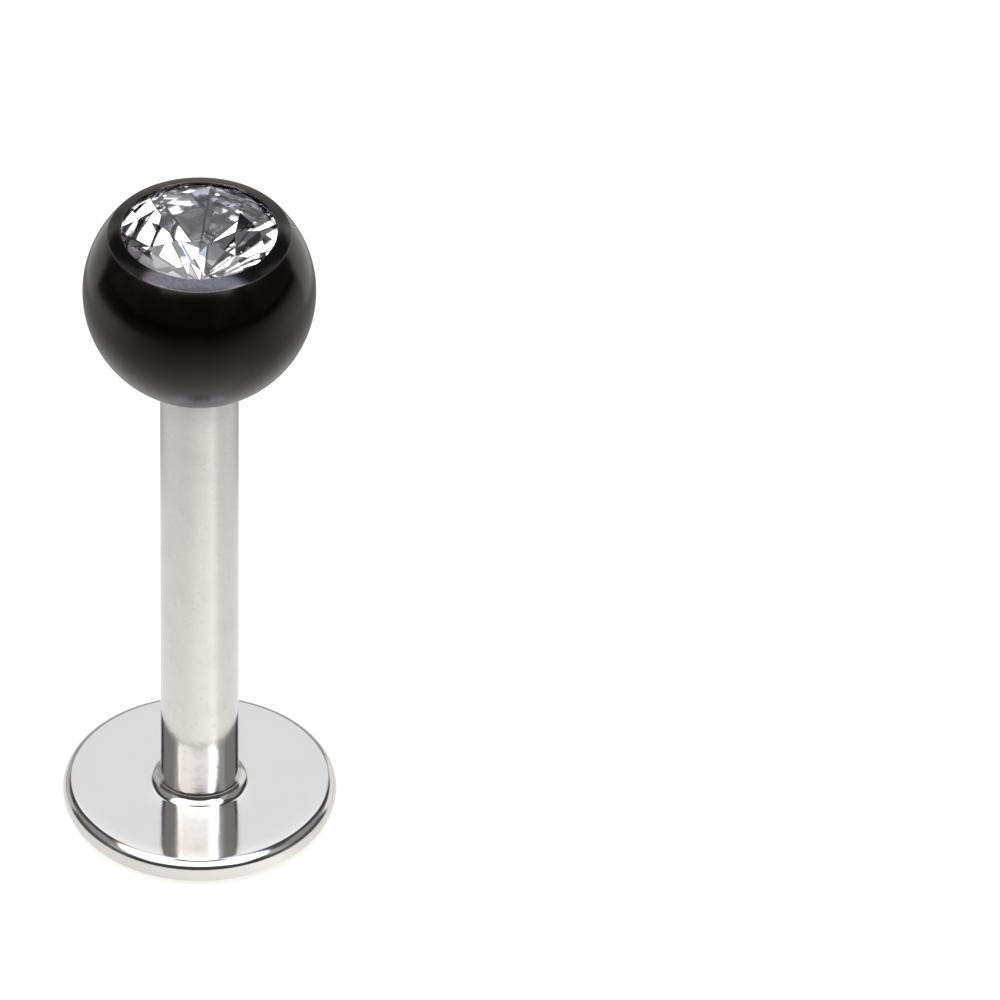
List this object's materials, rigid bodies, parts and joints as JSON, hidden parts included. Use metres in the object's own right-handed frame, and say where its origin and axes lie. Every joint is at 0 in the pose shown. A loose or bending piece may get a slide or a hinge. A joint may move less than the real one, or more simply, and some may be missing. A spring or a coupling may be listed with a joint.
{
  "type": "labret stud",
  "caption": "Labret stud: a straight steel post on a flat round disc, with a black screw-on ball that holds a clear round stone.",
  "frame": {"origin": "centre of the disc's flat underside, where the stud stands", "axes": "+Z along the post from the disc towards the ball and the stone's table; the part is round about Z, and the picture's camera looks along +Y from above"},
  "size_m": [0.0056, 0.0056, 0.0153],
  "materials": {
    "polished_steel": "polished surgical steel",
    "black_coated_steel": "glossy black coating on steel",
    "clear_stone": "clear cut glass, foil backed"
  },
  "bodies": {
    "post": {"labret_post": "polished_steel"},
    "jewelled_ball": {"ball": "black_coated_steel", "stone": "clear_stone"}
  },
  "joints": [
    {"name": "ball_lift", "type": "slide", "parent": "post", "child": "jewelled_ball", "axis": [0, 0, 1], "range_m": [0, 0.012]}
  ]
}
